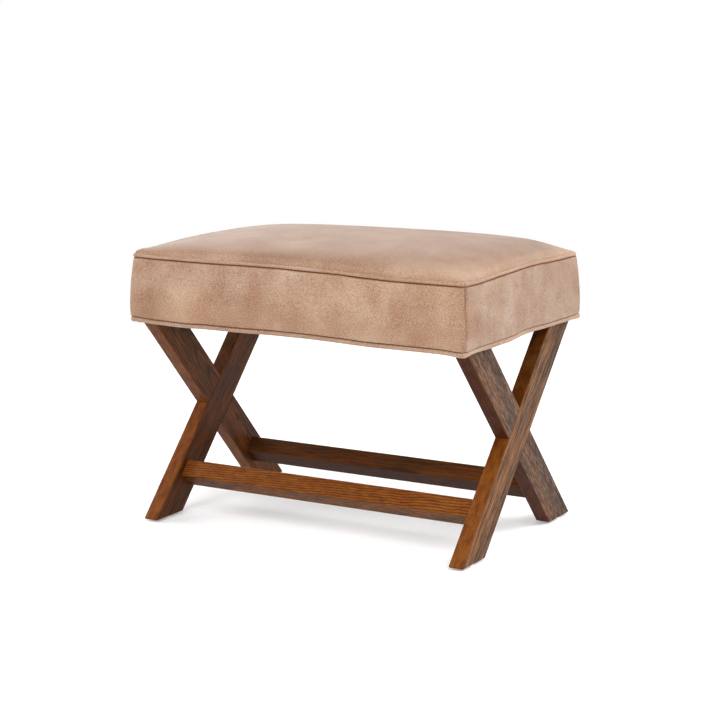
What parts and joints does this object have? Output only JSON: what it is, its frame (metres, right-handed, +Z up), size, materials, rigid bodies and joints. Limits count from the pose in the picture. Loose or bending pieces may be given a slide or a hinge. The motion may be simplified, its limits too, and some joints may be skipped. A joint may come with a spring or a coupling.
{
  "type": "ottoman",
  "caption": "Upholstered footstool: a box cushion with welted edges on two half-lapped crossed-leg wooden frames joined by two stretchers.",
  "frame": {"origin": "on the floor, under the middle of the seat", "axes": "+X along the seat to the right end, +Y to the back, +Z up"},
  "size_m": [0.599, 0.4052, 0.4658],
  "materials": {
    "frame_wood": "satin walnut stain",
    "hardwood_dowel": "bare beech",
    "seat_frame_wood": "bare sawn poplar",
    "plywood": "bare plywood",
    "cover": "distressed matt tan, nubuck-like",
    "piping_cord": "twisted cotton",
    "foam": "open-cell foam",
    "wadding": "loose white fibre",
    "dust_cloth": "black non-woven cloth",
    "zinc_steel": "zinc plated",
    "nylon": "natural nylon"
  },
  "bodies": {
    "root": {"left_leg_front_foot": "frame_wood", "left_leg_back_foot": "frame_wood", "right_leg_front_foot": "frame_wood", "right_leg_back_foot": "frame_wood", "front_stretcher": "frame_wood", "back_stretcher": "frame_wood", "stretcher_dowels": "hardwood_dowel", "rail_dowels": "hardwood_dowel", "leg_top_dowels": "hardwood_dowel", "left_rail": "seat_frame_wood", "right_rail": "seat_frame_wood", "front_rail": "seat_frame_wood", "back_rail": "seat_frame_wood", "corner_blocks": "seat_frame_wood", "seat_deck": "plywood", "top_panel": "cover", "front_boxing": "cover", "back_boxing": "cover", "left_boxing": "cover", "right_boxing": "cover", "top_welt": "cover", "bottom_welt": "cover", "cover_hem": "cover", "top_piping_cord": "piping_cord", "bottom_piping_cord": "piping_cord", "foam_core": "foam", "wadding": "wadding", "dust_cover": "dust_cloth", "leg_top_screws": "zinc_steel", "corner_block_screws": "zinc_steel", "deck_screws": "zinc_steel", "glide_nails": "zinc_steel", "staples": "zinc_steel", "foot_glides": "nylon"}
  },
  "joints": []
}
